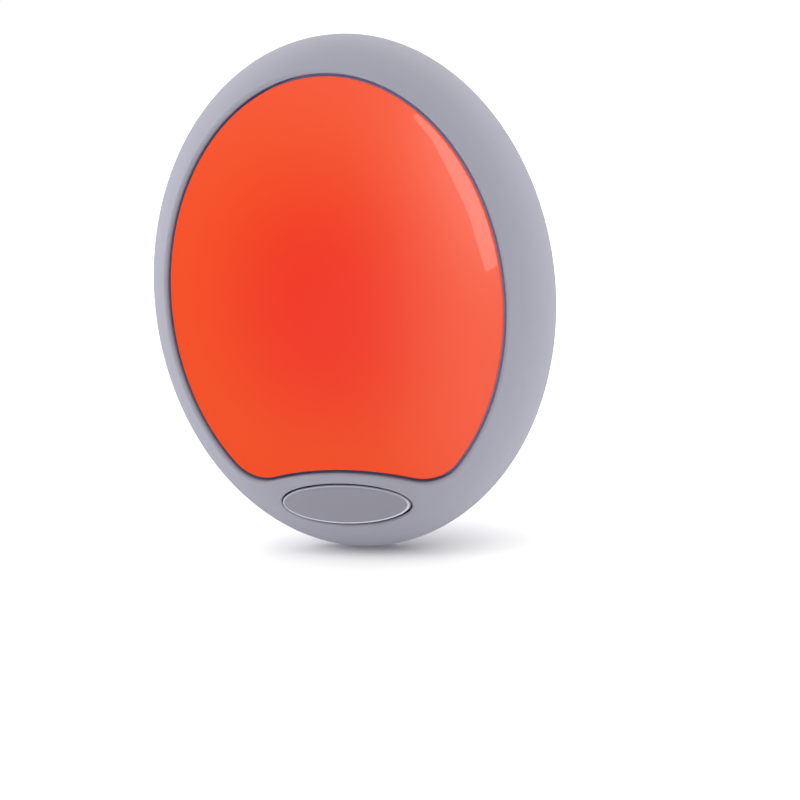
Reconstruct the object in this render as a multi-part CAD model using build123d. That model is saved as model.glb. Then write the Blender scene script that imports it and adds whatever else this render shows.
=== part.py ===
from build123d import *
from math import atan2, cos, degrees, radians, sin
import os

# Oval plug-in night light, in millimetres. +Z is up, the lit face looks along -Y and the two
# plug pins point along +Y. The origin lies midway between the pins, on the plug body's end face.

# Oval head
oval_width = 70.0
oval_height = 86.0
oval_centre_z = 11.5
front_depth = 15.0
shoulder_radius = 11.0
skirt_length = 1.0
wall = 2.0

# Rear shell and plug body
rear_depth = 19.0
back_width = 54.0
back_corner_radius = 6.0
seam_step = 0.4
tongue_length = 1.6
tongue_root = 1.0
tongue_thickness = 1.2
plug_body_length = 18.0
plug_body_width = 35.3
plug_flat_width = 26.1
plug_body_thickness = 13.7
plug_end_height = 5.0
plug_corner_radius = 2.0
plug_edge_bevel = 0.8
plug_base_thickness = 3.0

# Lens
rim_width_side = 6.1
rim_width_top = 6.45
strip_width = 2.6
arch_radius = 48.0
lobe_radius = 7.2
lens_rise = 5.7
lens_wall = 1.8
lens_sink = 0.2
lens_edge_radius = 0.5
lens_flange_reach = 1.5
lens_flange_thickness = 1.2
lens_lip_radius = 0.5
collar_wall = 1.5

# Push button and its guide
button_width = 22.3
button_height = 6.8
button_rise = 9.3
button_face_depth = 10.6
button_face_tilt = 12.0
button_crown_radius = 70.0
button_edge_radius = 0.45
button_cap_thickness = 1.5
button_skirt_wall = 1.2
button_tab_reach = 1.2
button_tab_height = 3.6
button_tab_thickness = 1.1
button_travel = 1.5
button_stem_radius = 1.5
guide_wall = 1.2
guide_depth = 6.0
button_lip_radius = 0.3

# Circuit board, light tray and light-emitting diodes
board_setback = 1.8
board_thickness = 1.6
board_side_margin = 17.0
board_top = 16.0
tray_depth = 6.1
tray_lip = 2.0
tray_taper = 6.0
tray_wall = 1.2
tray_rim_reach = 1.2
led_width = 3.5
led_height = 2.8
led_thickness = 1.9
led_cup_radius = 1.12
led_cup_depth = 0.4
led_spread = 8.0
led_row_heights = (8.0, -12.0)

# Push switch behind the button
switch_side = 7.0
switch_floor = 0.8
plunger_radius = 1.5
plunger_rise = 4.2
terminal_width = 0.6
terminal_pitch = 2.54
terminal_row = 2.5
terminal_length = 2.8
support_post_radius = 1.7

# Parts on the back of the board
film_capacitor_width = 6.0
film_capacitor_length = 13.0
film_capacitor_corner = 0.75
film_capacitor_headroom = 2.6
film_capacitor_z = 5.0
can_radius = 3.15
can_headroom = 4.6
can_edge = 0.5
can_groove_height = 1.5
can_groove_depth = 0.4
rectifier_width = 8.5
rectifier_length = 6.5
rectifier_height = 3.2
rectifier_chamfer = 0.5
power_part_inset = 8.0
power_part_rise = 12.0
resistor_inset = 6.0
resistor_wire_radius = 0.3
resistor_wire_sides = 6
resistor_wire_reach = 1.6
resistor_cap_length = 1.8
resistor_cap_step = 0.2
fuse_resistor_radius = 1.6
fuse_resistor_length = 9.0
fuse_resistor_z = -3.0
small_resistor_radius = 1.2
small_resistor_length = 6.5
bleed_resistor_z = -3.5
led_resistor_z = -12.0

# Plug pins, sleeves and leads
pin_spacing = 19.0
pin_length = 19.0
pin_radius = 2.0
pin_tip_rounding = 1.5
pin_shank_radius = 1.4
pin_root_radius = 2.3
pin_collar_radius = 3.0
pin_collar_thickness = 1.5
pin_tail_radius = 1.3
pin_tail_length = 4.5
sleeve_length = 10.0
sleeve_wall = 0.35
lead_radius = 0.8
lead_cup_depth = 2.5
lead_straight = 7.5
lead_pad_x = 7.5
lead_pad_z = 1.5
lead_bend_radius = 14.0

# Screws
housing_screw_angles = (45.0, 135.0, 220.0, 320.0)
housing_screw_inset = 5.5
boss_radius = 2.8
boss_length = 4.0
boss_cap = 0.6
boss_web = 2.4
screw_shank_radius = 1.1
screw_head_radius = 2.3
screw_head_height = 1.8
screw_seat = 2.5
well_wall = 0.9
board_screw_inset = 3.5
board_screw_z = 12.5
board_screw_head_radius = 2.0
board_screw_head_height = 1.4
board_screw_bite = 5.0
post_radius = 2.5

# Clearances
lens_gap = 0.45
button_gap = 0.35
slide_gap = 0.15
stop_gap = 0.1
switch_gap = 0.3
fit_gap = 0.05
tongue_gap = 0.15
screw_gap = 0.2
window_gap = 0.4
inner_gap = 0.2
board_edge_gap = 0.5

# Stations along the depth
back_y = -plug_body_length
outline_y = back_y - rear_depth
seam_y = outline_y + skirt_length
floor_y = back_y - wall
board_front_y = outline_y + board_setback
board_back_y = board_front_y + board_thickness
tray_front_y = board_front_y - tray_depth
collar_end_y = tray_front_y - lens_flange_thickness
guide_end_y = outline_y - guide_depth
skirt_end_y = guide_end_y + stop_gap + button_tab_thickness
switch_top_y = skirt_end_y + button_travel + switch_gap
switch_floor_y = board_front_y - switch_floor
plunger_base_y = switch_floor_y - stop_gap - button_travel
plunger_end_y = switch_top_y - plunger_rise
screw_seat_y = seam_y + screw_seat
boss_front_y = seam_y - boss_length
boss_hole_y = boss_front_y + boss_cap
pin_tail_y = -plug_base_thickness - pin_collar_thickness
pin_end_y = pin_tail_y - pin_tail_length
lead_cup_y = pin_end_y + lead_cup_depth
beyond_front_y = outline_y - 2 * front_depth

# Places on the head's face, measured from the middle of the oval
lens_half_width = oval_width / 2 - rim_width_side
lens_half_height = oval_height / 2 - rim_width_top
button_z = button_rise - oval_height / 2
notch_z = button_z + button_height / 2 + strip_width
board_half_width = oval_width / 2 - board_side_margin
board_bottom_z = button_z - switch_side / 2
board_edge_inset = wall + tongue_gap + tongue_thickness + board_edge_gap
board_screw_x = board_half_width - board_screw_inset
resistor_x = board_half_width - resistor_inset
power_part_x = board_half_width - power_part_inset
power_part_z = button_z + power_part_rise


def head(x, z):
    """Place on the head's face, measured from the middle of the oval."""
    return Pos(x, oval_centre_z + z)


def prism(sketch, y_back, y_front):
    """Sketch in x and z, drawn out along the depth."""
    return extrude(Plane.XZ.offset(-y_back) * sketch, amount=y_back - y_front)


def rod(x, z, radius, y_back, y_front):
    return prism(head(x, z) * Circle(radius), y_back, y_front)


def oval_turn(profile, half_width, half_height):
    """Turned profile, stretched in height to the oval and set at the head's middle."""
    turned = revolve(profile, Axis.Y)
    oval = scale(turned, by=(1, 1, half_height / half_width))
    return Pos(0, 0, oval_centre_z) * oval


def depth_plane(y):
    """Plane whose first axis runs outwards and whose second axis runs to the front."""
    return Plane(origin=(0, y, 0), x_dir=(1, 0, 0), z_dir=(0, 0, -1))


def pebble(inset):
    """Front form of the head: a crowned face that rolls over a shoulder into a short skirt."""
    half_width = oval_width / 2 - inset
    half_height = oval_height / 2 - inset
    depth = front_depth - inset
    shoulder = shoulder_radius - inset
    shoulder_x = half_width - shoulder
    crown = (half_width**2 - 2 * half_width * shoulder + depth**2) / (2 * (depth - shoulder))
    crown_y = depth - crown
    meet = degrees(atan2(-crown_y, shoulder_x))
    outline = [
        Line((0, -skirt_length), (half_width, -skirt_length)),
        Line((half_width, -skirt_length), (half_width, 0)),
        CenterArc((shoulder_x, 0), shoulder, 0, meet),
        CenterArc((0, crown_y), crown, meet, 90 - meet),
        Line((0, depth), (0, -skirt_length)),
    ]
    return oval_turn(depth_plane(outline_y) * make_face(outline), half_width, half_height)


def bowl(inset):
    """Rear form of the head: a tapered oval tray with a rounded back edge."""
    half_front = oval_width / 2 - seam_step - inset
    half_height = oval_height / 2 - seam_step - inset
    half_back = back_width / 2 - inset
    depth = back_y - inset - seam_y
    profile = Polygon((0, 0), (half_front, 0), (half_back, -depth), (0, -depth), align=None)
    corner = profile.vertices().sort_by(Axis.Y)[:2].sort_by(Axis.X)[-1]
    profile = fillet(corner, back_corner_radius - inset)
    return oval_turn(depth_plane(seam_y) * profile, half_front, half_height)


def lens_outline(grow):
    """Oval with an arched notch above the button and two rounded lobes beside it."""
    oval = Ellipse(lens_half_width + grow, lens_half_height + grow)
    arch = Pos(0, notch_z - arch_radius) * Circle(arch_radius - grow)
    notched = oval - arch
    lobes = notched.vertices().sort_by(Axis.Y)[:2]
    return head(0, 0) * fillet(lobes, lobe_radius + grow)


def button_outline(grow):
    return head(0, button_z) * Ellipse(button_width / 2 + grow, button_height / 2 + grow)


def rim_edges(body, outline, y_limit):
    """Front edges of a body that follow an outline."""
    path = outline.wire()
    edges = []
    for edge in body.edges():
        middle = edge.position_at(0.5)
        in_front = middle.Y < y_limit and edge.geom_type != GeomType.LINE
        if in_front and path.distance_to(Vertex(middle.X, middle.Z, 0)) < fit_gap:
            edges.append(edge)
    return edges


def housing_screw_places():
    """Screw places on an oval that lies inside the rim, with the way out to the rim."""
    reach_x = oval_width / 2 - housing_screw_inset
    reach_z = oval_height / 2 - housing_screw_inset
    places = []
    for angle in housing_screw_angles:
        x = reach_x * cos(radians(angle))
        z = reach_z * sin(radians(angle))
        places.append((x, z, angle))
    return places


def bezel_bosses(grow, y_back, y_front):
    """Screw bosses on the bezel, each tied to the rim by a web."""
    bosses = []
    for x, z, angle in housing_screw_places():
        web = Pos(housing_screw_inset / 2, 0) * Rectangle(housing_screw_inset, boss_web + 2 * grow)
        section = Circle(boss_radius + grow) + web
        bosses.append(prism(head(x, z) * Rot(0, 0, angle) * section, y_back, y_front))
    return bosses


def make_front_bezel():
    """Satin moulded frame round the lens, with the button's guide and the screw bosses behind."""
    shell = pebble(0) - pebble(wall)
    within_wall = pebble(wall / 2)
    collar = prism(lens_outline(lens_gap + collar_wall), collar_end_y, beyond_front_y)
    guide = prism(button_outline(button_gap + guide_wall), guide_end_y, beyond_front_y)
    bosses = bezel_bosses(0, seam_y, boss_front_y)
    shell += [piece & within_wall for piece in [collar, guide, *bosses]]
    shell -= prism(lens_outline(lens_gap), boss_front_y, beyond_front_y)
    shell -= prism(button_outline(button_gap), outline_y, beyond_front_y)
    for x, z, angle in housing_screw_places():
        shell -= rod(x, z, screw_shank_radius + fit_gap, seam_y, boss_hole_y)
    shell = fillet(rim_edges(shell, lens_outline(lens_gap), guide_end_y), lens_lip_radius)
    return fillet(rim_edges(shell, button_outline(button_gap), guide_end_y), button_lip_radius)


def lens_crown(inset):
    """Large oval ball whose front gives the lens one even crown, a little below the bezel's face."""
    radius = (lens_half_width**2 + lens_rise**2) / (2 * lens_rise)
    ball = scale(Sphere(radius - inset), by=(1, 1, oval_height / oval_width))
    return Pos(0, outline_y - front_depth + lens_sink + radius, oval_centre_z) * ball


def make_lens():
    """Translucent crowned lens with a skirt and a flange that seats behind the bezel's collar."""
    dome = prism(lens_outline(0), tray_front_y, beyond_front_y) & lens_crown(0)
    dome = fillet(rim_edges(dome, lens_outline(0), collar_end_y), lens_edge_radius)
    hollow = prism(lens_outline(-lens_wall), tray_front_y, beyond_front_y)
    hollow &= lens_crown(lens_wall)
    flange = prism(lens_outline(lens_flange_reach), tray_front_y, collar_end_y)
    flange &= pebble(wall + inner_gap)
    flange -= prism(lens_outline(-lens_wall), tray_front_y, collar_end_y)
    return dome - hollow + flange


def button_face(inset):
    """Large ball whose front gives the button its gently crowned face, tipped a little downwards."""
    tilt = radians(button_face_tilt)
    face_y = outline_y - button_face_depth
    centre_y = face_y + button_crown_radius * cos(tilt)
    centre_z = oval_centre_z + button_z + button_crown_radius * sin(tilt)
    return Pos(0, centre_y, centre_z) * Sphere(button_crown_radius - inset)


def make_push_button():
    """Oval cap with a skirt, a stem for the switch and an end tab on each side as a stop."""
    cap = prism(button_outline(0), skirt_end_y, beyond_front_y) & button_face(0)
    cap = fillet(rim_edges(cap, button_outline(0), guide_end_y), button_edge_radius)
    hollow = prism(button_outline(-button_skirt_wall), skirt_end_y, beyond_front_y)
    cap -= hollow & button_face(button_cap_thickness)
    stem_top_y = outline_y - button_face_depth + button_cap_thickness / 2
    cap += rod(0, button_z, button_stem_radius, plunger_end_y, stem_top_y)
    tab_length = button_tab_reach + button_gap + button_skirt_wall
    for side in (-1, 1):
        tab_x = side * (button_width / 2 + button_gap + button_tab_reach - tab_length / 2)
        tab = head(tab_x, button_z) * Rectangle(tab_length, button_tab_height)
        cap += prism(tab, skirt_end_y, skirt_end_y - button_tab_thickness) & pebble(wall + inner_gap)
    return cap


def tray_cup(inset, y_back):
    """Tapered cup that follows the lens and is cut off straight along its notch."""
    mouth_w = lens_half_width - tray_lip - inset
    mouth_h = lens_half_height - tray_lip - inset
    mouth = head(0, 0) * Ellipse(mouth_w, mouth_h)
    floor = head(0, 0) * Ellipse(mouth_w - tray_taper, mouth_h - tray_taper)
    cone = loft(
        [Plane.XZ.offset(-board_front_y) * floor, Plane.XZ.offset(-tray_front_y) * mouth],
        ruled=True,
    )
    return cone & prism(lens_outline(-tray_lip - inset), y_back, tray_front_y)


def led_places():
    return [(x, z) for z in led_row_heights for x in (-led_spread, led_spread)]


def board_screw_places():
    return [(-board_screw_x, board_screw_z), (board_screw_x, board_screw_z)]


def make_light_tray():
    """White tray behind the lens, with windows for the diodes and room for the board's screws."""
    tray = prism(lens_outline(tray_rim_reach), tray_front_y + tray_wall, tray_front_y)
    tray &= pebble(wall + inner_gap)
    tray += tray_cup(0, board_front_y)
    tray -= tray_cup(tray_wall, board_front_y - tray_wall)
    for x, z in led_places():
        window = head(x, z) * Rectangle(led_width + 2 * window_gap, led_height + 2 * window_gap)
        tray -= prism(window, board_front_y, tray_front_y)
    for x, z in board_screw_places():
        tray -= rod(x, z, board_screw_head_radius + window_gap, board_front_y, tray_front_y)
    return tray


def terminal_places():
    places = []
    for row in (-terminal_row, terminal_row):
        for step in (-1, 0, 1):
            places.append((row, button_z + step * terminal_pitch))
    return places


def make_circuit_board():
    """Board with an oval foot that carries the switch behind the button."""
    middle_z = (board_top + board_bottom_z) / 2
    slab = Pos(0, middle_z) * Rectangle(2 * board_half_width, board_top - board_bottom_z)
    limit = Ellipse(oval_width / 2 - board_edge_inset, oval_height / 2 - board_edge_inset)
    board = prism(head(0, 0) * (slab & limit), board_back_y, board_front_y)
    for x, z in board_screw_places():
        board -= rod(x, z, screw_shank_radius + screw_gap, board_back_y, board_front_y)
    hole = terminal_width + 2 * slide_gap
    for x, z in terminal_places():
        board -= prism(head(x, z) * Rectangle(hole, hole), board_back_y, board_front_y)
    return board


def make_led(x, z):
    """Flat light-emitting diode: a case with a round cup in its face."""
    front_y = board_front_y - led_thickness
    case = prism(head(x, z) * Rectangle(led_width, led_height), board_front_y, front_y)
    return case - rod(x, z, led_cup_radius, front_y + led_cup_depth, front_y)


def make_switch_body():
    """Square push switch with a bore for its plunger."""
    body = prism(head(0, button_z) * Rectangle(switch_side, switch_side), board_front_y, switch_top_y)
    return body - rod(0, button_z, plunger_radius + slide_gap, switch_floor_y, switch_top_y)


def make_switch_plunger():
    return rod(0, button_z, plunger_radius, plunger_base_y, plunger_end_y)


def make_switch_terminals():
    blades = []
    for x, z in terminal_places():
        blade = head(x, z) * Rectangle(terminal_width, terminal_width)
        blades.append(prism(blade, board_front_y + terminal_length, board_front_y))
    return Compound(children=blades)


def plug_section(inset):
    """Flattened six-sided section of the plug body."""
    half = plug_body_width / 2 - inset
    flat = plug_flat_width / 2 - inset / 2
    top = plug_body_thickness / 2 - inset
    end = plug_end_height / 2 - inset / 2
    corners = [(half, end), (flat, top), (-flat, top), (-half, end)]
    corners += [(-x, -z) for x, z in corners]
    section = Polygon(*corners, align=None)
    return fillet(section.vertices(), plug_corner_radius)


def make_rear_shell():
    """Rear housing with the plug body, the screw wells, the board's posts and a locating tongue."""
    outer = bowl(0)
    shell = outer - bowl(wall)
    for x, z, angle in housing_screw_places():
        shell += rod(x, z, screw_head_radius + screw_gap + well_wall, back_y, seam_y) & outer
    for x, z in board_screw_places():
        shell += rod(x, z, post_radius, back_y - wall / 2, board_back_y) & outer
    shell += rod(0, button_z, support_post_radius, back_y, board_back_y) & outer
    plug_body = prism(plug_section(0), 0, floor_y)
    end_face = plug_body.faces().sort_by(Axis.Y)[-1]
    shell += chamfer(end_face.edges(), plug_edge_bevel)
    shell -= prism(plug_section(wall), -plug_base_thickness, floor_y)
    tongue_w = oval_width / 2 - wall - tongue_gap
    tongue_h = oval_height / 2 - wall - tongue_gap
    ring = Ellipse(tongue_w, tongue_h) - Ellipse(tongue_w - tongue_thickness, tongue_h - tongue_thickness)
    tongue = prism(head(0, 0) * ring, seam_y + tongue_root, seam_y - tongue_length)
    tongue -= bezel_bosses(inner_gap, seam_y, seam_y - tongue_length)
    shell += tongue
    for x, z, angle in housing_screw_places():
        shell -= rod(x, z, screw_head_radius + screw_gap, 0, screw_seat_y)
        shell -= rod(x, z, screw_shank_radius + screw_gap, screw_seat_y, seam_y)
    bite_y = board_back_y + board_screw_bite + screw_gap
    for x, z in board_screw_places():
        shell -= rod(x, z, screw_shank_radius + fit_gap, bite_y, board_back_y)
    for side in (-1, 1):
        pin_hole = Pos(side * pin_spacing / 2, 0) * Circle(pin_root_radius + fit_gap)
        shell -= prism(pin_hole, 0, -plug_base_thickness)
    return shell


def make_pin(side):
    """Turned plug pin: solder cup and collar inside the body, sleeved shank and full-size tip outside."""
    cup_radius = lead_radius + fit_gap
    profile = Polygon(
        (cup_radius, pin_end_y),
        (pin_tail_radius, pin_end_y),
        (pin_tail_radius, pin_tail_y),
        (pin_collar_radius, pin_tail_y),
        (pin_collar_radius, -plug_base_thickness),
        (pin_root_radius, -plug_base_thickness),
        (pin_root_radius, 0),
        (pin_shank_radius, 0),
        (pin_shank_radius, sleeve_length),
        (pin_radius, sleeve_length),
        (pin_radius, pin_length),
        (0, pin_length),
        (0, lead_cup_y),
        (cup_radius, lead_cup_y),
        align=None,
    )
    tip = profile.vertices().sort_by(Axis.Y)[-2:].sort_by(Axis.X)[-1]
    return Pos(side * pin_spacing / 2, 0, 0) * revolve(fillet(tip, pin_tip_rounding), Axis.Y)


def make_pin_sleeve(side):
    bore = pin_shank_radius + fit_gap
    ring = Circle(bore + sleeve_wall) - Circle(bore)
    return prism(Pos(side * pin_spacing / 2, 0) * ring, sleeve_length, 0)


def make_lead(side):
    """Insulated lead from a pin's solder cup to its pad on the board."""
    pin_x = side * pin_spacing / 2
    pad_x = side * lead_pad_x
    route = FilletPolyline(
        (pin_x, lead_cup_y, 0),
        (pin_x, lead_cup_y - lead_straight, 0),
        (pad_x, board_back_y + lead_straight, lead_pad_z),
        (pad_x, board_back_y, lead_pad_z),
        radius=lead_bend_radius,
    )
    start = Plane(origin=route @ 0, z_dir=route % 0)
    return sweep(start * Circle(lead_radius), path=route)


def make_film_capacitor():
    top_y = floor_y - film_capacitor_headroom
    base = head(0, film_capacitor_z) * Rectangle(film_capacitor_width, film_capacitor_length)
    block = prism(base, top_y, board_back_y)
    return fillet(block.edges().filter_by(Axis.Y), film_capacitor_corner)


def make_electrolytic_capacitor():
    """Turned aluminium can with a rolled groove near its foot and a broken edge at its top."""
    height = floor_y - can_headroom - board_back_y
    neck = can_radius - can_groove_depth
    profile = Polygon(
        (0, 0),
        (can_radius, 0),
        (can_radius, can_groove_height - can_groove_depth),
        (neck, can_groove_height),
        (can_radius, can_groove_height + can_groove_depth),
        (can_radius, height - can_edge),
        (can_radius - can_edge, height),
        (0, height),
        align=None,
    )
    return Pos(-power_part_x, board_back_y, oval_centre_z + power_part_z) * revolve(profile, Axis.Y)


def make_bridge_rectifier():
    base = head(power_part_x, power_part_z) * Rectangle(rectifier_width, rectifier_length)
    block = prism(base, board_back_y + rectifier_height, board_back_y)
    return chamfer(block.faces().sort_by(Axis.Y)[-1].edges(), rectifier_chamfer)


def make_resistor(x, z, radius, length, upright):
    """Axial resistor: a waisted body on a wire whose two ends are bent down to the board."""
    lift = radius + resistor_wire_radius
    reach = length / 2 + resistor_wire_reach
    profile = Polygon(
        (-length / 2, 0),
        (-length / 2, radius),
        (resistor_cap_length - length / 2, radius),
        (resistor_cap_length - length / 2, radius - resistor_cap_step),
        (length / 2 - resistor_cap_length, radius - resistor_cap_step),
        (length / 2 - resistor_cap_length, radius),
        (length / 2, radius),
        (length / 2, 0),
        align=None,
    )
    body = revolve(profile, Axis.X)
    wire = Polyline((-reach, -lift, 0), (-reach, 0, 0), (reach, 0, 0), (reach, -lift, 0))
    start = Plane(origin=wire @ 0, z_dir=wire % 0)
    section = RegularPolygon(resistor_wire_radius, resistor_wire_sides)
    body += sweep(start * section, path=wire, transition=Transition.RIGHT)
    turn = 90 if upright else 0
    return Pos(x, board_back_y + lift, oval_centre_z + z) * Rot(0, turn, 0) * body


def make_housing_screws():
    """Four identical screws that pull the rear shell to the bezel."""
    screws = []
    for x, z, angle in housing_screw_places():
        cap = rod(x, z, screw_head_radius, screw_seat_y + screw_head_height, screw_seat_y)
        screws.append(cap + rod(x, z, screw_shank_radius, screw_seat_y, boss_hole_y + screw_gap))
    return Compound(children=screws)


def make_board_screws():
    """Two identical screws that hold the board to the rear shell's posts."""
    screws = []
    front_y = board_front_y - board_screw_head_height
    for x, z in board_screw_places():
        cap = rod(x, z, board_screw_head_radius, board_front_y, front_y)
        screws.append(cap + rod(x, z, screw_shank_radius, board_back_y + board_screw_bite, board_front_y))
    return Compound(children=screws)


nodes = {
    "front_bezel": make_front_bezel(),
    "lens": make_lens(),
    "push_button": make_push_button(),
    "light_tray": make_light_tray(),
    "rear_shell": make_rear_shell(),
    "circuit_board": make_circuit_board(),
    "switch_body": make_switch_body(),
    "switch_plunger": make_switch_plunger(),
    "switch_terminals": make_switch_terminals(),
    "film_capacitor": make_film_capacitor(),
    "electrolytic_capacitor": make_electrolytic_capacitor(),
    "bridge_rectifier": make_bridge_rectifier(),
    "fuse_resistor": make_resistor(
        -resistor_x, fuse_resistor_z, fuse_resistor_radius, fuse_resistor_length, upright=True
    ),
    "bleed_resistor": make_resistor(
        resistor_x, bleed_resistor_z, small_resistor_radius, small_resistor_length, upright=True
    ),
    "led_resistor": make_resistor(
        0, led_resistor_z, small_resistor_radius, small_resistor_length, upright=False
    ),
    "housing_screws": make_housing_screws(),
    "board_screws": make_board_screws(),
}
for number, (led_x, led_z) in enumerate(led_places(), start=1):
    nodes[f"led_{number}"] = make_led(led_x, led_z)
for name, side in (("live", -1), ("neutral", 1)):
    nodes[f"{name}_pin"] = make_pin(side)
    nodes[f"{name}_pin_sleeve"] = make_pin_sleeve(side)
    nodes[f"{name}_lead"] = make_lead(side)

os.makedirs("parts", exist_ok=True)
for name, node in nodes.items():
    export_step(node, f"parts/{name}.step")
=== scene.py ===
import bmesh
import bpy
from math import cos, pi, radians, sin, sqrt
from mathutils import Matrix, Vector


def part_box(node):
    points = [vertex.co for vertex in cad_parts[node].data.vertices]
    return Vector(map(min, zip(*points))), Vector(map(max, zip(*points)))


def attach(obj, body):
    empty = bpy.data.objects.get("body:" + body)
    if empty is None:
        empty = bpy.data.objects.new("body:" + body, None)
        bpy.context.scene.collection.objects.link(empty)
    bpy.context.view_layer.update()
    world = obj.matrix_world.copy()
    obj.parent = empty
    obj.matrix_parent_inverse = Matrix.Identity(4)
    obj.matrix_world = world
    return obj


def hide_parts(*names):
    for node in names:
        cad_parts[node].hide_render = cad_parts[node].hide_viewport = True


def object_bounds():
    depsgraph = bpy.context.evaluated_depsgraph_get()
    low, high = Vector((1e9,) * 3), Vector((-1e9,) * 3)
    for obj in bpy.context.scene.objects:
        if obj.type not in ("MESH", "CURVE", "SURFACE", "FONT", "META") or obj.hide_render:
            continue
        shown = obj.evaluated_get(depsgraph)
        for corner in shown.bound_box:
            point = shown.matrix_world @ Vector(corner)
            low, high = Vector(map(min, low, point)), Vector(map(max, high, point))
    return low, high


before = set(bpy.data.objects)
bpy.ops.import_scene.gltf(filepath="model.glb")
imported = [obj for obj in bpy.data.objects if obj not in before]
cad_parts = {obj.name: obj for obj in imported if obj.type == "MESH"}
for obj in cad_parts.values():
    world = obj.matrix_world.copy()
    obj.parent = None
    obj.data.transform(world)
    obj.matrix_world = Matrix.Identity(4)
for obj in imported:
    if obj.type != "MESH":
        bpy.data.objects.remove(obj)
cad_low, cad_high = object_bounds()


# The studio round the night light: a plain pale floor, two large soft boxes, a bent strip light and
# a camera that looks at the lit face from a little above and to the right. The head's middle is
# the middle of its oval, on the plane of the widest outline.
bezel_low, bezel_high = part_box("front_bezel")
skirt_length = 0.001
head_middle = Vector((0.0, bezel_high.y - skirt_length, (bezel_low.z + bezel_high.z) / 2))

image_size = 800
head_pixel = Vector((351.77, 293.79))
pixels_per_metre = 5989.4
view_azimuth = radians(19.20)
view_elevation = radians(9.83)
view_roll = radians(-3.56)
view_distance = 0.4
view_clip_start = 0.01
film_width = 36.0


def direction_from_head(azimuth, elevation):
    """Way from the head to a place round it; azimuth 0 is straight out of the lens."""
    return Vector((sin(azimuth) * cos(elevation), -cos(azimuth) * cos(elevation), sin(elevation)))


def add_camera():
    back = direction_from_head(view_azimuth, view_elevation)
    level_right = Vector((cos(view_azimuth), sin(view_azimuth), 0.0))
    level_up = back.cross(level_right)
    right = level_right * cos(view_roll) + level_up * sin(view_roll)
    up = level_up * cos(view_roll) - level_right * sin(view_roll)
    aside = (head_pixel.x - image_size / 2) / pixels_per_metre
    above = (image_size / 2 - head_pixel.y) / pixels_per_metre
    data = bpy.data.cameras.new("photo_camera")
    data.sensor_width = film_width
    data.lens = film_width * pixels_per_metre * view_distance / image_size
    data.clip_start = view_clip_start
    camera = bpy.data.objects.new("photo_camera", data)
    turn = Matrix((right, up, back)).transposed()
    place = head_middle + back * view_distance - right * aside - up * above
    camera.matrix_world = Matrix.Translation(place) @ turn.to_4x4()
    bpy.context.scene.collection.objects.link(camera)
    bpy.context.scene.camera = camera


add_camera()
bpy.context.scene.view_settings.view_transform = "Standard"


def add_softbox(name, azimuth, elevation, distance, width, height, radiance, mirrored):
    """Flat soft light that faces the head; its power follows from its area and radiance."""
    data = bpy.data.lights.new(name, "AREA")
    data.shape = "RECTANGLE"
    data.size = width
    data.size_y = height
    data.energy = radiance * width * height * pi
    way = direction_from_head(radians(azimuth), radians(elevation))
    light = bpy.data.objects.new(name, data)
    turn = way.to_track_quat("Z", "Y").to_matrix().to_4x4()
    light.matrix_world = Matrix.Translation(head_middle + way * distance) @ turn
    light.visible_camera = False
    light.visible_glossy = mirrored
    bpy.context.scene.collection.objects.link(light)


add_softbox(
    "left_softbox", azimuth=-85, elevation=14, distance=0.9,
    width=1.0, height=0.8, radiance=4.0, mirrored=False,
)
add_softbox(
    "right_softbox", azimuth=105, elevation=12, distance=0.9,
    width=0.9, height=0.8, radiance=0.3, mirrored=True,
)


def new_material(name):
    material = bpy.data.materials.new(name)
    material.use_nodes = True
    return material, material.node_tree, material.node_tree.nodes["Principled BSDF"]


strip_azimuth = radians(20.0)
strip_elevation = radians(14.0)
strip_distance = 0.9
strip_edge = ((-0.190, 0.240), (-0.110, 0.155), (-0.040, 0.039), (0.026, -0.084), (0.085, -0.262))
strip_reach = (0.10, 0.04)
strip_radiance = 5.6


def add_strip_light():
    """Bent strip light in front and to the right, which gives the lens its long narrow highlight."""
    way = direction_from_head(strip_azimuth, strip_elevation)
    side = Vector((cos(strip_azimuth), sin(strip_azimuth), 0.0))
    lift = way.cross(side)
    middle = head_middle + way * strip_distance
    bm = bmesh.new()
    verts = [bm.verts.new(middle + side * across + lift * rise) for across, rise in strip_edge]
    edges = [bm.edges.new(pair) for pair in zip(verts, verts[1:])]
    drawn = bmesh.ops.extrude_edge_only(bm, edges=edges)["geom"]
    far_side = [item for item in drawn if isinstance(item, bmesh.types.BMVert)]
    bmesh.ops.translate(bm, verts=far_side, vec=side * strip_reach[0] + lift * strip_reach[1])
    mesh = bpy.data.meshes.new("strip_light")
    bm.to_mesh(mesh)
    bm.free()
    glow, _, shader = new_material("strip_glow")
    shader.inputs["Base Color"].default_value = (0.0, 0.0, 0.0, 1.0)
    shader.inputs["Specular IOR Level"].default_value = 0.0
    shader.inputs["Emission Color"].default_value = (1.0, 1.0, 1.0, 1.0)
    shader.inputs["Emission Strength"].default_value = strip_radiance
    mesh.materials.append(glow)
    light = bpy.data.objects.new("strip_light", mesh)
    light.visible_camera = False
    light.visible_diffuse = False
    bpy.context.scene.collection.objects.link(light)


add_strip_light()

# Each band is where it starts and ends along one axis of a direction, and its strength there.
light_behind = (-0.6, 0.6, 0.02, 1.5)
light_above = (0.1, 1.0, 0.0, 1.5)
mirrored_side = (-0.25, 0.5, 0.0, 0.75)
mirrored_back = (-0.2, 0.6, 0.0, 0.35)
mirrored_top = (0.1, 0.8, 0.0, 0.75)
backdrop_strength = 1.0


def add_band(tree, source, band):
    """Strength that climbs smoothly as a direction turns."""
    climb = tree.nodes.new("ShaderNodeMapRange")
    climb.interpolation_type = "SMOOTHSTEP"
    for label, value in zip(("From Min", "From Max", "To Min", "To Max"), band):
        climb.inputs[label].default_value = value
    tree.links.new(source, climb.inputs["Value"])
    return climb.outputs["Result"]


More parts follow.
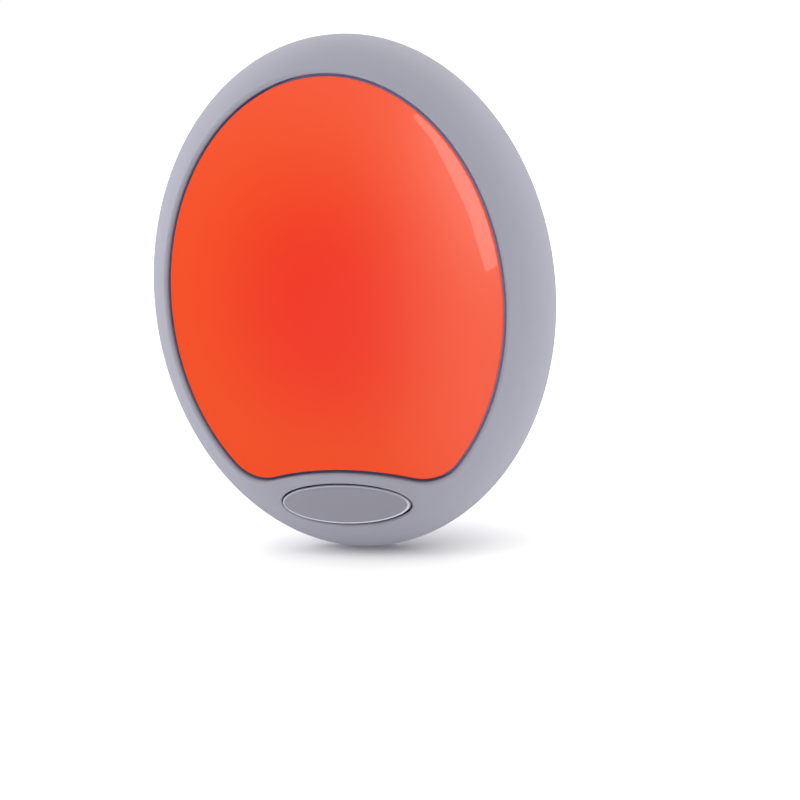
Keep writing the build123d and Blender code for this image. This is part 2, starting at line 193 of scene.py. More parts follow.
def add_math(tree, operation, *values):
    """One sum on one or two values, each a plain number or another node's."""
    node = tree.nodes.new("ShaderNodeMath")
    node.operation = operation
    for socket, value in zip(node.inputs, values):
        if isinstance(value, float):
            socket.default_value = value
        else:
            tree.links.new(value, socket)
    return node.outputs["Value"]


def add_studio_air():
    """Soft light from behind and overhead, a calmer glow in what is mirrored, and a white backdrop."""
    world = bpy.data.worlds.new("studio_air")
    world.use_nodes = True
    world.cycles.sampling_method = "NONE"
    tree = world.node_tree
    coords = tree.nodes.new("ShaderNodeTexCoord")
    split = tree.nodes.new("ShaderNodeSeparateXYZ")
    tree.links.new(coords.outputs["Generated"], split.inputs["Vector"])
    x, y, z = (split.outputs[axis] for axis in "XYZ")
    thrown = add_math(tree, "ADD", add_band(tree, y, light_behind), add_band(tree, z, light_above))
    mirrored = add_math(tree, "ADD", add_band(tree, x, mirrored_side), add_band(tree, y, mirrored_back))
    mirrored = add_math(tree, "ADD", mirrored, add_band(tree, z, mirrored_top))
    rays = tree.nodes.new("ShaderNodeLightPath")
    sheen = tree.nodes.new("ShaderNodeMix")
    backdrop = tree.nodes.new("ShaderNodeMix")
    backdrop.inputs["B"].default_value = backdrop_strength
    sky = tree.nodes["Background"]
    sky.inputs["Color"].default_value = (1.0, 1.0, 1.0, 1.0)
    tree.links.new(rays.outputs["Is Glossy Ray"], sheen.inputs["Factor"])
    tree.links.new(thrown, sheen.inputs["A"])
    tree.links.new(mirrored, sheen.inputs["B"])
    tree.links.new(rays.outputs["Is Camera Ray"], backdrop.inputs["Factor"])
    tree.links.new(sheen.outputs["Result"], backdrop.inputs["A"])
    tree.links.new(backdrop.outputs["Result"], sky.inputs["Strength"])
    bpy.context.scene.world = world


add_studio_air()

floor_half = 60.0
floor_tone = (0.82, 0.82, 0.82, 1.0)
floor_roughness = 0.8
floor_lift = 0.65


def add_floor():
    """Pale matt floor that lifts the underside with a little light of its own."""
    bm = bmesh.new()
    bmesh.ops.create_grid(bm, x_segments=1, y_segments=1, size=floor_half)
    bmesh.ops.translate(bm, verts=bm.verts, vec=(0, 0, cad_low.z))
    mesh = bpy.data.meshes.new("studio_floor")
    bm.to_mesh(mesh)
    bm.free()
    paint, tree, shader = new_material("floor_paint")
    rays = tree.nodes.new("ShaderNodeLightPath")
    shader.inputs["Base Color"].default_value = floor_tone
    shader.inputs["Roughness"].default_value = floor_roughness
    shader.inputs["Specular IOR Level"].default_value = 0.0
    shader.inputs["Emission Strength"].default_value = floor_lift
    tree.links.new(rays.outputs["Is Diffuse Ray"], shader.inputs["Emission Color"])
    mesh.materials.append(paint)
    floor = bpy.data.objects.new("studio_floor", mesh)
    floor.visible_glossy = False
    bpy.context.scene.collection.objects.link(floor)


add_floor()


# Rear shell: the tapered back half of the housing with the flat two-pin plug body. It is one
# injection moulding in pale lavender-grey plastic with a fine spark-eroded skin.
housing_grey = (0.240, 0.240, 0.288)
noise_low = 0.3
noise_high = 0.7
relief_height = 0.0001


def new_group(name, inputs, outputs):
    """Empty shader group with named sockets."""
    group = bpy.data.node_groups.new(name, "ShaderNodeTree")
    for label, kind in inputs.items():
        group.interface.new_socket(label, in_out="INPUT", socket_type=kind)
    for label, kind in outputs.items():
        group.interface.new_socket(label, in_out="OUTPUT", socket_type=kind)
    entry = group.nodes.new("NodeGroupInput")
    leave = group.nodes.new("NodeGroupOutput")
    return group, entry, leave


def add_noise(tree, scale, detail):
    noise = tree.nodes.new("ShaderNodeTexNoise")
    noise.inputs["Scale"].default_value = scale
    noise.inputs["Detail"].default_value = detail
    return noise


def add_range(tree, source, low, high):
    """Spreads a noise's middle values over a range."""
    spread = tree.nodes.new("ShaderNodeMapRange")
    spread.inputs["From Min"].default_value = noise_low
    spread.inputs["From Max"].default_value = noise_high
    spread.inputs["To Min"].default_value = low
    spread.inputs["To Max"].default_value = high
    tree.links.new(source, spread.inputs["Value"])
    return spread.outputs["Result"]


surface_outputs = {
    "Colour": "NodeSocketColor",
    "Roughness": "NodeSocketFloat",
    "Height": "NodeSocketFloat",
}
drift_scale = 45.0
drift_range = (0.98, 1.02)


def make_moulded_group():
    """Moulded plastic: slow drift in tone, fine grain in the skin, and gloss that follows the grain."""
    group, entry, leave = new_group(
        "moulded_skin",
        {
            "Vector": "NodeSocketVector",
            "Colour": "NodeSocketColor",
            "Grain": "NodeSocketFloat",
            "Gloss Low": "NodeSocketFloat",
            "Gloss High": "NodeSocketFloat",
        },
        surface_outputs,
    )
    drift = add_noise(group, drift_scale, 2.0)
    grain = add_noise(group, 1.0, 2.0)
    tone = group.nodes.new("ShaderNodeHueSaturation")
    gloss = group.nodes.new("ShaderNodeMapRange")
    link = group.links.new
    link(entry.outputs["Vector"], drift.inputs["Vector"])
    link(entry.outputs["Vector"], grain.inputs["Vector"])
    link(entry.outputs["Grain"], grain.inputs["Scale"])
    link(entry.outputs["Colour"], tone.inputs["Color"])
    link(add_range(group, drift.outputs["Fac"], *drift_range), tone.inputs["Value"])
    link(grain.outputs["Fac"], gloss.inputs["Value"])
    link(entry.outputs["Gloss Low"], gloss.inputs["To Min"])
    link(entry.outputs["Gloss High"], gloss.inputs["To Max"])
    link(tone.outputs["Color"], leave.inputs["Colour"])
    link(gloss.outputs["Result"], leave.inputs["Roughness"])
    link(grain.outputs["Fac"], leave.inputs["Height"])
    return group


def surface_material(name, group, values, relief, stretch=None, metallic=0.0):
    """Material whose colour, gloss and relief come from a group."""
    material, tree, shader = new_material(name)
    coords = tree.nodes.new("ShaderNodeTexCoord")
    effect = tree.nodes.new("ShaderNodeGroup")
    effect.node_tree = group
    source = coords.outputs["Object"]
    if stretch:
        mapping = tree.nodes.new("ShaderNodeMapping")
        mapping.inputs["Scale"].default_value = stretch
        tree.links.new(source, mapping.inputs["Vector"])
        source = mapping.outputs["Vector"]
    tree.links.new(source, effect.inputs["Vector"])
    for label, value in values.items():
        effect.inputs[label].default_value = value
    bump = tree.nodes.new("ShaderNodeBump")
    bump.inputs["Strength"].default_value = relief
    bump.inputs["Distance"].default_value = relief_height
    tree.links.new(effect.outputs["Height"], bump.inputs["Height"])
    tree.links.new(effect.outputs["Colour"], shader.inputs["Base Color"])
    tree.links.new(effect.outputs["Roughness"], shader.inputs["Roughness"])
    tree.links.new(bump.outputs["Normal"], shader.inputs["Normal"])
    shader.inputs["Metallic"].default_value = metallic
    return material


def dress(material, *nodes):
    for node in nodes:
        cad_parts[node].material_slots[0].material = material


moulded_skin = make_moulded_group()


def plastic(name, colour, grain, gloss, relief):
    values = {"Colour": (*colour, 1.0), "Grain": grain, "Gloss Low": gloss[0], "Gloss High": gloss[1]}
    return surface_material(name, moulded_skin, values, relief)


rear_shell_skin = plastic("rear_shell_skin", housing_grey, grain=3600.0, gloss=(0.42, 0.62), relief=0.16)
dress(rear_shell_skin, "rear_shell")


# Plug pins: turned brass, nickel plated, with fine tool rings along the barrel. Each is pressed
# into the plug body from inside and stopped by its collar.
tarnish_scale = 400.0
tarnish_range = (0.0, 0.35)


def make_metal_group():
    """Plated or drawn metal: fine tool lines and a little tarnish."""
    group, entry, leave = new_group(
        "worked_metal",
        {
            "Vector": "NodeSocketVector",
            "Colour": "NodeSocketColor",
            "Tarnish": "NodeSocketColor",
            "Line Scale": "NodeSocketFloat",
            "Gloss Low": "NodeSocketFloat",
            "Gloss High": "NodeSocketFloat",
        },
        surface_outputs,
    )
    lines = add_noise(group, 1.0, 3.0)
    cloud = add_noise(group, tarnish_scale, 3.0)
    tone = group.nodes.new("ShaderNodeMix")
    tone.data_type = "RGBA"
    gloss = group.nodes.new("ShaderNodeMapRange")
    link = group.links.new
    link(entry.outputs["Vector"], lines.inputs["Vector"])
    link(entry.outputs["Line Scale"], lines.inputs["Scale"])
    link(entry.outputs["Vector"], cloud.inputs["Vector"])
    link(add_range(group, cloud.outputs["Fac"], *tarnish_range), tone.inputs["Factor"])
    link(entry.outputs["Colour"], tone.inputs["A"])
    link(entry.outputs["Tarnish"], tone.inputs["B"])
    link(lines.outputs["Fac"], gloss.inputs["Value"])
    link(entry.outputs["Gloss Low"], gloss.inputs["To Min"])
    link(entry.outputs["Gloss High"], gloss.inputs["To Max"])
    link(tone.outputs["Result"], leave.inputs["Colour"])
    link(gloss.outputs["Result"], leave.inputs["Roughness"])
    link(lines.outputs["Fac"], leave.inputs["Height"])
    return group


worked_metal = make_metal_group()


def metal(name, colour, tarnish, lines, gloss, relief, stretch=None):
    values = {
        "Colour": (*colour, 1.0),
        "Tarnish": (*tarnish, 1.0),
        "Line Scale": lines,
        "Gloss Low": gloss[0],
        "Gloss High": gloss[1],
    }
    return surface_material(name, worked_metal, values, relief, stretch, metallic=1.0)


pin_nickel = metal(
    "pin_nickel",
    colour=(0.72, 0.70, 0.66),
    tarnish=(0.60, 0.57, 0.50),
    lines=5000.0,
    gloss=(0.14, 0.34),
    relief=0.12,
    stretch=(0.02, 1.0, 0.02),
)
dress(pin_nickel, "live_pin", "neutral_pin")


# Pin sleeves: thin insulating tubes in dark grey plastic, moulded round the thinner half of each
# pin next to the plug body.
sleeve_skin = plastic("sleeve_skin", (0.10, 0.10, 0.115), grain=2500.0, gloss=(0.38, 0.52), relief=0.10)
dress(sleeve_skin, "live_pin_sleeve", "neutral_pin_sleeve")


# Leads: stranded copper in a soft jacket, brown on one pin and blue on the other, soldered into
# the pins' cups at one end and to the board at the other.
brown_jacket = plastic("brown_jacket", (0.16, 0.055, 0.022), grain=1800.0, gloss=(0.36, 0.52), relief=0.12)
blue_jacket = plastic("blue_jacket", (0.02, 0.08, 0.36), grain=1800.0, gloss=(0.36, 0.52), relief=0.12)
dress(brown_jacket, "live_lead")
dress(blue_jacket, "neutral_lead")


# Circuit board: tan paper laminate with faint fibres across it, punched to shape, with bare
# solder joints where the wires and terminals meet its back face.
fibre_scale = 1600.0
fibre_stretch = (1.0, 1.0, 0.12)
fibre_tones = ((0.35, (0.34, 0.225, 0.085, 1.0)), (0.65, (0.50, 0.37, 0.17, 1.0)))
laminate_gloss = (0.34, 0.5)


def set_tones(ramp, tones):
    """Gives a two-step colour ramp its places and colours."""
    for step, (position, colour) in zip(ramp.elements, tones):
        step.position = position
        step.color = colour


def make_laminate():
    material, tree, shader = new_material("board_laminate_skin")
    coords = tree.nodes.new("ShaderNodeTexCoord")
    mapping = tree.nodes.new("ShaderNodeMapping")
    mapping.inputs["Scale"].default_value = fibre_stretch
    fibres = add_noise(tree, fibre_scale, 4.0)
    tones = tree.nodes.new("ShaderNodeValToRGB")
    set_tones(tones.color_ramp, fibre_tones)
    tree.links.new(coords.outputs["Object"], mapping.inputs["Vector"])
    tree.links.new(mapping.outputs["Vector"], fibres.inputs["Vector"])
    tree.links.new(fibres.outputs["Fac"], tones.inputs["Fac"])
    tree.links.new(tones.outputs["Color"], shader.inputs["Base Color"])
    tree.links.new(add_range(tree, fibres.outputs["Fac"], *laminate_gloss), shader.inputs["Roughness"])
    return material


dress(make_laminate(), "circuit_board")
board_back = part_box("circuit_board")[1].y


def spin_profile(bm, profile, centre, axis, steps):
    """Turned solid: a profile given as (reach, rise) pairs goes once round the axis."""
    aside = axis.orthogonal().normalized()
    verts = [bm.verts.new(centre + aside * reach + axis * rise) for reach, rise in profile]
    edges = [bm.edges.new(pair) for pair in zip(verts, verts[1:])]
    bmesh.ops.spin(
        bm,
        geom=verts + edges,
        cent=centre,
        axis=axis,
        dvec=(0, 0, 0),
        angle=2 * pi,
        steps=steps,
        use_merge=True,
    )


merge_distance = 1e-6
sharp_angle = radians(35)


def finish_piece(name, bm, material, body):
    """Closes the mesh, smooths it up to its sharp edges, and lets it ride on a body."""
    bmesh.ops.remove_doubles(bm, verts=bm.verts, dist=merge_distance)
    bmesh.ops.recalc_face_normals(bm, faces=bm.faces)
    for face in bm.faces:
        face.smooth = True
    mesh = bpy.data.meshes.new(name)
    bm.to_mesh(mesh)
    bm.free()
    mesh.set_sharp_from_angle(angle=sharp_angle)
    mesh.materials.append(material)
    piece = bpy.data.objects.new(name, mesh)
    bpy.context.scene.collection.objects.link(piece)
    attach(piece, body)
    return piece


solder_reach = 0.0009
solder_rise = 0.0007
solder_neck = 0.00035
solder_steps = 16
solder_profile = [
    (0.0, 0.0),
    (solder_reach, 0.0),
    (solder_reach * 0.72, solder_rise * 0.35),
    (solder_neck, solder_rise),
    (0.0, solder_rise * 1.05),
]
solder_tin = metal(
    "solder_tin",
    colour=(0.66, 0.66, 0.64),
    tarnish=(0.45, 0.45, 0.44),
    lines=900.0,
    gloss=(0.18, 0.36),
    relief=0.05,
)
terminal_low, terminal_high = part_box("switch_terminals")
terminal_half = 0.0003
terminal_run = terminal_high.z - terminal_low.z - 2 * terminal_half
wire_radius = 0.0003
solder_places = []
for x in (terminal_low.x + terminal_half, terminal_high.x - terminal_half):
    for share in (0.0, 0.5, 1.0):
        solder_places.append((x, terminal_low.z + terminal_half + terminal_run * share))
for node in ("fuse_resistor", "bleed_resistor"):
    low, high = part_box(node)
    for z in (low.z + wire_radius, high.z - wire_radius):
        solder_places.append(((low.x + high.x) / 2, z))
low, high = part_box("led_resistor")
for x in (low.x + wire_radius, high.x - wire_radius):
    solder_places.append((x, (low.z + high.z) / 2))
solder_bm = bmesh.new()
for x, z in solder_places:
    spin_profile(solder_bm, solder_profile, Vector((x, board_back, z)), Vector((0, 1, 0)), solder_steps)
finish_piece("solder_joints", solder_bm, solder_tin, "housing")


# Light-emitting diodes: four white moulded cases on the board's front, each with a round cup
# filled by a drop of yellow phosphor resin that sets with a slight dome.
diodes = ("led_1", "led_2", "led_3", "led_4")
diode_case = plastic("diode_case", (0.80, 0.79, 0.74), grain=1500.0, gloss=(0.30, 0.42), relief=0.04)
dress(diode_case, *diodes)
phosphor_resin = plastic("phosphor_resin", (0.80, 0.52, 0.07), grain=2200.0, gloss=(0.10, 0.22), relief=0.08)
cup_radius = 0.00108
cup_depth = 0.0004
drop_steps = 24
drop_profile = [
    (0.0, 0.0),
    (cup_radius, 0.0),
    (cup_radius, cup_depth * 0.8),
    (cup_radius * 0.7, cup_depth * 0.92),
    (cup_radius * 0.35, cup_depth * 0.98),
    (0.0, cup_depth),
]
drop_bm = bmesh.new()
for node in diodes:
    low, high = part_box(node)
    cup_floor = Vector(((low.x + high.x) / 2, low.y + cup_depth, (low.z + high.z) / 2))
    spin_profile(drop_bm, drop_profile, cup_floor, Vector((0, -1, 0)), drop_steps)
finish_piece("phosphor_drops", drop_bm, phosphor_resin, "housing")


# Push switch: a black moulded body with a white plunger and six tinned terminals, soldered to
# the foot of the board behind the button.
switch_skin = plastic("switch_skin", (0.018, 0.018, 0.02), grain=2600.0, gloss=(0.40, 0.55), relief=0.12)
plunger_skin = plastic("plunger_skin", (0.74, 0.74, 0.71), grain=1900.0, gloss=(0.32, 0.46), relief=0.06)
terminal_tin = metal(
    "terminal_tin",
    colour=(0.62, 0.62, 0.60),
    tarnish=(0.46, 0.46, 0.44),
    lines=3000.0,
    gloss=(0.2, 0.4),
    relief=0.1,
    stretch=(1.0, 0.05, 1.0),
)
dress(switch_skin, "switch_body")
dress(plunger_skin, "switch_plunger")
dress(terminal_tin, "switch_terminals")


# Power parts: a yellow boxed film capacitor, a black moulded rectifier and an aluminium can in a
# dark shrunk sleeve with one pale stripe and a bare top.
film_case_skin = plastic(
    "film_capacitor_skin", (0.68, 0.40, 0.045), grain=1400.0, gloss=(0.24, 0.38), relief=0.05
)
rectifier_skin = plastic("rectifier_skin", (0.016, 0.016, 0.017), grain=3000.0, gloss=(0.45, 0.6), relief=0.2)
dress(film_case_skin, "film_capacitor")
dress(rectifier_skin, "bridge_rectifier")


def add_step(tree, source, edge, width):
    """0 below an edge and 1 above it, over a narrow width."""
    step = tree.nodes.new("ShaderNodeMapRange")
    step.inputs["From Min"].default_value = edge - width / 2
    step.inputs["From Max"].default_value = edge + width / 2
    tree.links.new(source, step.inputs["Value"])
    return step.outputs["Result"]


def add_mix(tree, factor, first, second):
    """Blend of two colours, each a plain one or another node's."""
    mix = tree.nodes.new("ShaderNodeMix")
    mix.data_type = "RGBA"
    tree.links.new(factor, mix.inputs["Factor"])
    for label, value in (("A", first), ("B", second)):
        if isinstance(value, tuple):
            mix.inputs[label].default_value = (*value, 1.0)
        else:
            tree.links.new(value, mix.inputs[label])
    return mix.outputs["Result"]


sleeve_tones = ((0.028, 0.03, 0.04), (0.045, 0.05, 0.065))
stripe_grey = (0.5, 0.5, 0.52)
bare_aluminium = (0.70, 0.70, 0.71)
stripe_share = 0.2
bare_share = 0.05
sleeve_edge_share = 0.02
sleeve_cloud_scale = 700.0
sleeve_gloss = (0.26, 0.4)


def make_can_sleeve():
    low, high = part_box("electrolytic_capacitor")
    radius = (high.x - low.x) / 2
    edge_width = radius * sleeve_edge_share
    material, tree, shader = new_material("can_sleeve")
    coords = tree.nodes.new("ShaderNodeTexCoord")
    split = tree.nodes.new("ShaderNodeSeparateXYZ")
    tree.links.new(coords.outputs["Object"], split.inputs["Vector"])
    cloud = add_noise(tree, sleeve_cloud_scale, 3.0)
    tree.links.new(coords.outputs["Object"], cloud.inputs["Vector"])
    stripe = add_step(tree, split.outputs["X"], high.x - radius * stripe_share, edge_width)
    bare = add_step(tree, split.outputs["Y"], high.y - radius * bare_share, edge_width)
    sleeve = add_mix(tree, cloud.outputs["Fac"], *sleeve_tones)
    striped = add_mix(tree, stripe, sleeve, stripe_grey)
    tree.links.new(add_mix(tree, bare, striped, bare_aluminium), shader.inputs["Base Color"])
    tree.links.new(bare, shader.inputs["Metallic"])
    tree.links.new(add_range(tree, cloud.outputs["Fac"], *sleeve_gloss), shader.inputs["Roughness"])
    return material


dress(make_can_sleeve(), "electrolytic_capacitor")


# Resistors: a green flame-proof one in the mains path and two tan ones, each a lacquered ceramic
# rod with coloured rings and tinned wires bent down to the board.
tan_lacquer = (0.56, 0.38, 0.20)
green_lacquer = (0.07, 0.17, 0.10)
lacquer_shade = 0.8
lacquer_cloud_scale = 1200.0
lacquer_gloss = (0.22, 0.38)
lacquer_end = 5e-5
paint_edge = 2e-5
wire_tin = (0.62, 0.62, 0.60)
brown_ring = (0.12, 0.04, 0.02)
black_ring = (0.01, 0.01, 0.012)
red_ring = (0.45, 0.02, 0.02)
gold_ring = (0.55, 0.38, 0.10)
ring_places = (-0.28, -0.12, 0.04, 0.28)
ring_share = 0.07


def make_resistor_lacquer(node, axis, body_length, lacquer, rings):
    """Rings and bare wire follow the place along the resistor's own axis."""
    low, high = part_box(node)
    middle = (low[axis] + high[axis]) / 2
    ring_width = body_length * ring_share
    material, tree, shader = new_material(node + "_lacquer")
    coords = tree.nodes.new("ShaderNodeTexCoord")
    split = tree.nodes.new("ShaderNodeSeparateXYZ")
    along = split.outputs["XYZ"[axis]]
    cloud = add_noise(tree, lacquer_cloud_scale, 3.0)
    tree.links.new(coords.outputs["Object"], split.inputs["Vector"])
    tree.links.new(coords.outputs["Object"], cloud.inputs["Vector"])
    shaded = tuple(lacquer_shade * part for part in lacquer)
    colour = add_mix(tree, cloud.outputs["Fac"], lacquer, shaded)
    for share, ring in zip(ring_places, rings):
        start = middle + share * body_length - ring_width / 2
        colour = add_mix(tree, add_step(tree, along, start, paint_edge), colour, ring)
        colour = add_mix(tree, add_step(tree, along, start + ring_width, paint_edge), colour, lacquer)
    reach = add_math(tree, "ABSOLUTE", add_math(tree, "SUBTRACT", along, middle))
    wire = add_step(tree, reach, body_length / 2 + lacquer_end, paint_edge)
    tree.links.new(add_mix(tree, wire, colour, wire_tin), shader.inputs["Base Color"])
    tree.links.new(wire, shader.inputs["Metallic"])
    tree.links.new(add_range(tree, cloud.outputs["Fac"], *lacquer_gloss), shader.inputs["Roughness"])
    return material


along_x, along_z = 0, 2
resistors = (
    ("fuse_resistor", along_z, 0.009, green_lacquer, (brown_ring, black_ring, red_ring, gold_ring)),
    ("bleed_resistor", along_z, 0.0065, tan_lacquer, (brown_ring, black_ring, brown_ring, gold_ring)),
    ("led_resistor", along_x, 0.0065, tan_lacquer, (red_ring, red_ring, brown_ring, gold_ring)),
)
for node, axis, body_length, lacquer, rings in resistors:
    dress(make_resistor_lacquer(node, axis, body_length, lacquer, rings), node)


# Board screws: two zinc-plated pan heads with a cross recess that pin the board to the rear
# shell's posts. Head and recess are cold formed and the thread is rolled.
recess_cells = 12
recess_half_width = 0.2
recess_reach = 0.62
recess_draft = 0.03
recess_depth = 0.62
dome_drop = 0.45
flank_share = 0.2
seat_share = 0.94
point_share = 0.35
thread_pitch = 0.0008
thread_depth = 0.12
root_start = 0.35
root_end = 0.65


def ring_step(bm, edges, radius, rise):
    """Draws the open rim on to a new ring and returns that ring's edges."""
    drawn = bmesh.ops.extrude_edge_only(bm, edges=edges)["geom"]
    for vert in [item for item in drawn if isinstance(item, bmesh.types.BMVert)]:
        flat = Vector((vert.co.x, vert.co.y, 0.0)).normalized() * radius
        vert.co = flat + Vector((0.0, 0.0, rise))
    return [item for item in drawn if isinstance(item, bmesh.types.BMEdge) and item.is_boundary]


def make_screw(head_radius, head_height, shank_radius, shank_length):
    """Pan head towards +Z with a cross recess, on a ringed shank that ends in a point."""
    bm = bmesh.new()
    bmesh.ops.create_grid(bm, x_segments=recess_cells, y_segments=recess_cells, size=1.0)
    recess = []
    for face in bm.faces:
        across = sorted(abs(part) for part in face.calc_center_median()[:2])
        if across[0] < recess_half_width and across[1] < recess_reach:
            recess.append(face)
    for vert in bm.verts:
        x, y = vert.co.x, vert.co.y
        flat = Vector((x * sqrt(1 - y * y / 2), y * sqrt(1 - x * x / 2), 0.0))
        dome = head_height * (1.0 - dome_drop * flat.length_squared**2)
        vert.co = flat * head_radius + Vector((0.0, 0.0, dome))
    bmesh.ops.inset_region(
        bm,
        faces=recess,
        thickness=head_radius * recess_draft,
        depth=-head_height * recess_depth,
        use_even_offset=True,
    )
    rim = [edge for edge in bm.edges if edge.is_boundary]
    rim = ring_step(bm, rim, head_radius, head_height * flank_share)
    rim = ring_step(bm, rim, head_radius * seat_share, 0.0)
    rim = ring_step(bm, rim, shank_radius, 0.0)
    root_radius = shank_radius * (1 - thread_depth)
    turns = int(shank_length / thread_pitch) - 1
    for turn in range(turns):
        rise = -turn * thread_pitch
        rim = ring_step(bm, rim, root_radius, rise - thread_pitch * root_start)
        rim = ring_step(bm, rim, root_radius, rise - thread_pitch * root_end)
        rim = ring_step(bm, rim, shank_radius, rise - thread_pitch)
    rim = ring_step(bm, rim, shank_radius * point_share, -shank_length)
    bmesh.ops.edgeloop_fill(bm, edges=rim)
    return bm


def place_screws(name, places, facing, sizes, material, node):
    """One piece that holds every copy of a screw."""
    together = bmesh.new()
    for place in places:
        screw = make_screw(*sizes)
        turn = Vector((0, 0, 1)).rotation_difference(facing).to_matrix().to_4x4()
        bmesh.ops.transform(screw, matrix=Matrix.Translation(place) @ turn, verts=screw.verts)
        copy = bpy.data.meshes.new(name + "_copy")
        screw.to_mesh(copy)
        screw.free()
        together.from_mesh(copy)
        bpy.data.meshes.remove(copy)
    piece = finish_piece(name, together, material, "housing")
    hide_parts(node)


screw_zinc = metal(
    "screw_zinc",
    colour=(0.60, 0.60, 0.58),
    tarnish=(0.42, 0.42, 0.40),
    lines=1500.0,
    gloss=(0.24, 0.42),
    relief=0.08,
)
shank_radius = 0.0011
board_head_radius = 0.002
board_head_height = 0.0014
low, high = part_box("board_screws")
seat_y = low.y + board_head_height
screw_z = (low.z + high.z) / 2
place_screws(
    "board_screw_pair",
    [Vector((x, seat_y, screw_z)) for x in (low.x + board_head_radius, high.x - board_head_radius)],
    Vector((0, -1, 0)),
    (board_head_radius, board_head_height, shank_radius, high.y - seat_y),
    screw_zinc,
    "board_screws",
)


# Light tray: a white high-gloss moulding behind the lens that throws the diodes' light forward.
# Its rim is clamped between the lens's flange and the board.
tray_gloss = plastic("tray_gloss", (0.84, 0.84, 0.82), grain=900.0, gloss=(0.16, 0.28), relief=0.02)
dress(tray_gloss, "light_tray")


# Lens: a crowned, glossy, orange-red translucent moulding, lit evenly from behind and a little
# redder in the middle. A flange behind its skirt sits against the bezel's collar.
lens_half_width = 0.0289
lens_rise = 0.0057
crown_radius = (lens_half_width**2 + lens_rise**2) / (2 * lens_rise)
crown_stretch = (bezel_high.z - bezel_low.z) / (bezel_high.x - bezel_low.x)
crown_middle = Vector((0.0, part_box("lens")[0].y + crown_radius, head_middle.z))
crown_slip = 2e-5
edge_depth = 0.0003
edge_fade = 0.00018
lens_tones = ((0.1, (0.74, 0.053, 0.001, 1.0)), (0.9, (0.73, 0.014, 0.001, 1.0)))
lens_spill = (0.05, 0.004, 0.001)
dye_scale = 60.0
lens_dyes = ((0.125, 0.011, 0.003), (0.135, 0.012, 0.003))
lens_roughness = (0.34, 0.36)
lens_specular = 0.7
lens_coat = 0.45
lens_coat_roughness = 0.035
# Painted shade: the lens's skirt is painted blue-grey and given a faint blue-grey glow, standing in for the
# shaded groove round the lens.
painted_skirt_shade = (0.30, 0.28, 0.42)
painted_skirt_glow = (0.080, 0.074, 0.135)


def add_place(tree, source, middle, scale):
    """Coordinates measured from a middle, with a scale along each axis taken out."""
    place = tree.nodes.new("ShaderNodeMapping")
    place.vector_type = "TEXTURE"
    place.inputs["Location"].default_value = middle
    place.inputs["Scale"].default_value = scale
    tree.links.new(source, place.inputs["Vector"])
    return place.outputs["Vector"]


def add_length(tree, source):
    reach = tree.nodes.new("ShaderNodeVectorMath")
    reach.operation = "LENGTH"
    tree.links.new(source, reach.inputs[0])
    return reach.outputs["Value"]


def make_lens_glow():
    """Glow that reddens towards the middle of the crown; at its edge the skirt takes a painted blue-grey
    shade band and a faint painted glow.
    """
    low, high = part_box("lens")
    oval = ((high.x - low.x) / 2, 1.0, (high.z - low.z) / 2)
    material, tree, shader = new_material("lens_glow")
    place = tree.nodes.new("ShaderNodeTexCoord").outputs["Object"]
    glow = tree.nodes.new("ShaderNodeTexGradient")
    glow.gradient_type = "SPHERICAL"
    tones = tree.nodes.new("ShaderNodeValToRGB")
    tones.color_ramp.interpolation = "EASE"
    set_tones(tones.color_ramp, lens_tones)
    dye = add_noise(tree, dye_scale, 2.0)
    tree.links.new(add_place(tree, place, head_middle, oval), glow.inputs["Vector"])
    tree.links.new(glow.outputs["Color"], tones.inputs["Fac"])
    tree.links.new(place, dye.inputs["Vector"])
    reach = add_length(tree, add_place(tree, place, crown_middle, (1.0, 1.0, crown_stretch)))
    face = add_step(tree, reach, crown_radius - edge_depth, edge_fade)
    dyed = add_mix(tree, dye.outputs["Fac"], *lens_dyes)
    # At the skirt the base colour is the painted blue-grey shade band.
    tree.links.new(add_mix(tree, face, painted_skirt_shade, dyed), shader.inputs["Base Color"])
    rays = tree.nodes.new("ShaderNodeLightPath")
    shine = add_mix(tree, rays.outputs["Is Diffuse Ray"], tones.outputs["Color"], lens_spill)
    # At the skirt the emission is a faint painted glow in the shaded groove.
    tree.links.new(add_mix(tree, face, painted_skirt_glow, shine), shader.inputs["Emission Color"])
    tree.links.new(add_range(tree, dye.outputs["Fac"], *lens_roughness), shader.inputs["Roughness"])
    shader.inputs["Specular IOR Level"].default_value = lens_specular
    shader.inputs["Emission Strength"].default_value = 1.0
    shader.inputs["Coat Weight"].default_value = lens_coat
    shader.inputs["Coat Roughness"].default_value = lens_coat_roughness
    return material


def crown_facing(point):
    """Which way the crown faces at a point; nothing for a point off it."""
    way = point - crown_middle
    way.z /= crown_stretch
    if abs(way.length - crown_radius) >= crown_slip:
        return Vector()
    way.z /= crown_stretch
    return way.normalized()


lens_bm = bmesh.new()
lens_bm.from_mesh(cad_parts["lens"].data)
lens_moulding = finish_piece("lens_moulding", lens_bm, make_lens_glow(), "housing")
lens_moulding.data.normals_split_custom_set_from_vertices(
    [crown_facing(vert.co) for vert in lens_moulding.data.vertices]
)
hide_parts("lens")


# Front bezel: the satin lavender-grey frame round the lens, one moulding with a rolled lip, a
# guide for the button and four screw bosses behind.
satin = {"grain": 4200.0, "gloss": (0.40, 0.54), "relief": 0.05}
dress(plastic("bezel_satin", housing_grey, **satin), "front_bezel")


# Push button: an oval cap in the bezel's own plastic, free to slide in its guide and caught by a
# tab at each end.
button_half_width = 0.01115
# The cap's grey is the bezel's grey darkened: painted shade for its front face, which catches less light.
button_painted_shade_grey = (0.203, 0.203, 0.241)
# The bright line round the cap's edge is a painted highlight.
painted_highlight_width = 0.00025
painted_highlight_colour = (0.50, 0.50, 0.56)


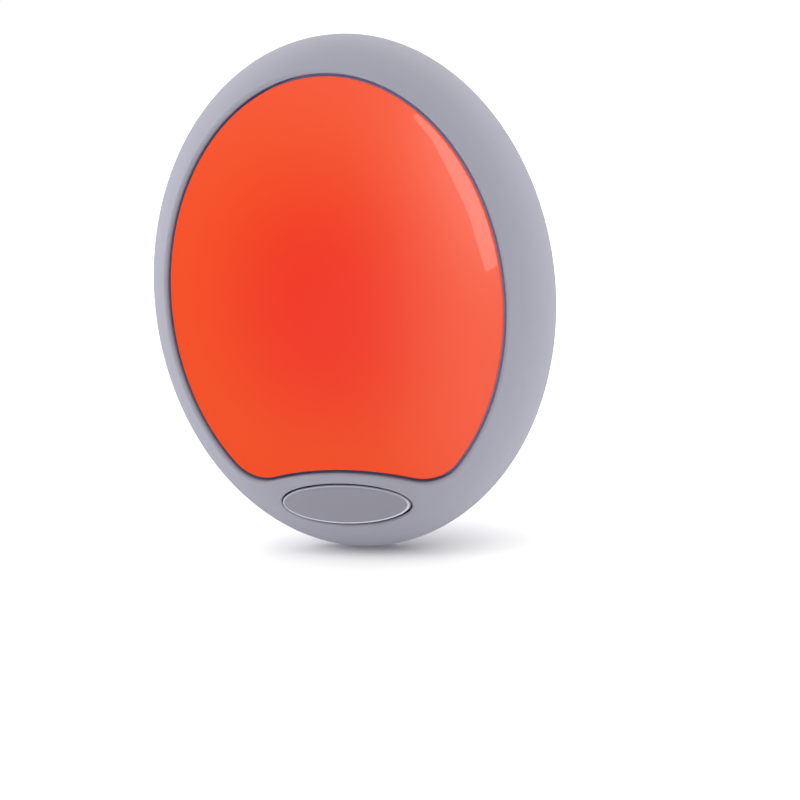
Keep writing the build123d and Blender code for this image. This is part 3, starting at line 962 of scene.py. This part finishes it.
def make_button_satin():
    """The bezel's satin with a painted highlight: a bright line round the cap's edge."""
    low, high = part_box("push_button")
    half_height = (high.z - low.z) / 2
    material = plastic("button_satin", button_painted_shade_grey, **satin)
    tree = material.node_tree
    base = tree.nodes["Principled BSDF"].inputs["Base Color"]
    coords = tree.nodes.new("ShaderNodeTexCoord")
    centred = tree.nodes.new("ShaderNodeVectorMath")
    centred.operation = "SUBTRACT"
    centred.inputs[1].default_value = (0.0, 0.0, (low.z + high.z) / 2)
    tree.links.new(coords.outputs["Object"], centred.inputs[0])
    reaches = []
    for power in (1, 2):
        shrunk = tree.nodes.new("ShaderNodeVectorMath")
        shrunk.operation = "MULTIPLY"
        shrunk.inputs[1].default_value = (button_half_width**-power, 0.0, half_height**-power)
        tree.links.new(centred.outputs["Vector"], shrunk.inputs[0])
        reaches.append(add_length(tree, shrunk.outputs["Vector"]))
    past = add_math(tree, "SUBTRACT", reaches[0], 1.0)
    scaled = add_math(tree, "MULTIPLY", past, reaches[0])
    inset = add_math(tree, "DIVIDE", scaled, reaches[1])
    painted_highlight_band = add_step(tree, inset, -painted_highlight_width, painted_highlight_width / 2)
    plain_tone = base.links[0].from_socket
    # Painted highlight: a narrow band along the cap's edge is mixed to a pale grey.
    tree.links.new(add_mix(tree, painted_highlight_band, plain_tone, painted_highlight_colour), base)
    return material


dress(make_button_satin(), "push_button")


# Housing screws: four zinc-plated pan heads with a cross recess at the bottom of the wells in the
# back, which pull the two halves of the housing together.
housing_screw_inset = 0.0055
housing_screw_angles = (45.0, 135.0, 220.0, 320.0)
housing_head_radius = 0.0023
housing_head_height = 0.0018
low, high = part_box("housing_screws")
seat_y = high.y - housing_head_height
reach_x = (bezel_high.x - bezel_low.x) / 2 - housing_screw_inset
reach_z = (bezel_high.z - bezel_low.z) / 2 - housing_screw_inset
housing_places = []
for angle in housing_screw_angles:
    out_x = reach_x * cos(radians(angle))
    out_z = reach_z * sin(radians(angle))
    housing_places.append(Vector((out_x, seat_y, head_middle.z + out_z)))
place_screws(
    "housing_screw_set",
    housing_places,
    Vector((0, 1, 0)),
    (housing_head_radius, housing_head_height, shank_radius, seat_y - low.y),
    screw_zinc,
    "housing_screws",
)
